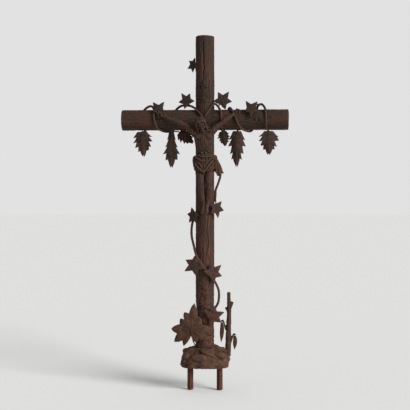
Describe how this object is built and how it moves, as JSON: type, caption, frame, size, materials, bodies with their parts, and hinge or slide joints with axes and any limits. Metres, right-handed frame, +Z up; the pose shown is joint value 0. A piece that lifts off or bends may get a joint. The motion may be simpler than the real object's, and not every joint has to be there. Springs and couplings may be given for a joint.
{
  "type": "grave cross",
  "caption": "Rusted iron grave cross: a log cross on a rock with a corpus, winding vine, ivy and grape leaves, a dead branch, and tangs to fix it in stone.",
  "frame": {"origin": "middle of the rock's flat underside, where it sits on the stone that its tangs go into", "axes": "+Z up the post, +X along the beam to the viewer's right, -Y out of the front that carries the corpus"},
  "size_m": [0.613, 0.1588, 1.2994],
  "materials": {
    "log_iron": "dull brown rust over dark iron",
    "rock_iron": "dull brown rust over dark iron",
    "tang_iron": "dull brown rust over dark iron",
    "vine_iron": "dull brown rust over dark iron",
    "leaf_iron": "dull brown rust over dark iron",
    "branch_iron": "dull brown rust over dark iron",
    "figure_iron": "dull brown rust over dark iron"
  },
  "bodies": {
    "root": {"log_cross": "log_iron", "rock_base": "rock_iron", "left_tang": "tang_iron", "right_tang": "tang_iron", "post_vine": "vine_iron", "left_beam_vine": "vine_iron", "right_beam_vine": "vine_iron", "outer_left_top_leaf": "leaf_iron", "inner_left_top_leaf": "leaf_iron", "inner_right_top_leaf": "leaf_iron", "outer_right_top_leaf": "leaf_iron", "outer_left_hanging_leaf": "leaf_iron", "middle_left_hanging_leaf": "leaf_iron", "inner_left_hanging_leaf": "leaf_iron", "inner_right_hanging_leaf": "leaf_iron", "middle_right_hanging_leaf": "leaf_iron", "outer_right_hanging_leaf": "leaf_iron", "upper_left_post_leaf": "leaf_iron", "right_leaf_by_feet": "leaf_iron", "left_leaf_by_feet": "leaf_iron", "left_leaf_midway": "leaf_iron", "right_leaf_midway": "leaf_iron", "right_leaf_low": "leaf_iron", "big_vine_leaf": "leaf_iron", "dead_branch": "branch_iron", "left_drooping_leaf": "branch_iron", "right_drooping_leaf": "branch_iron", "corpus": "figure_iron"}
  },
  "joints": []
}
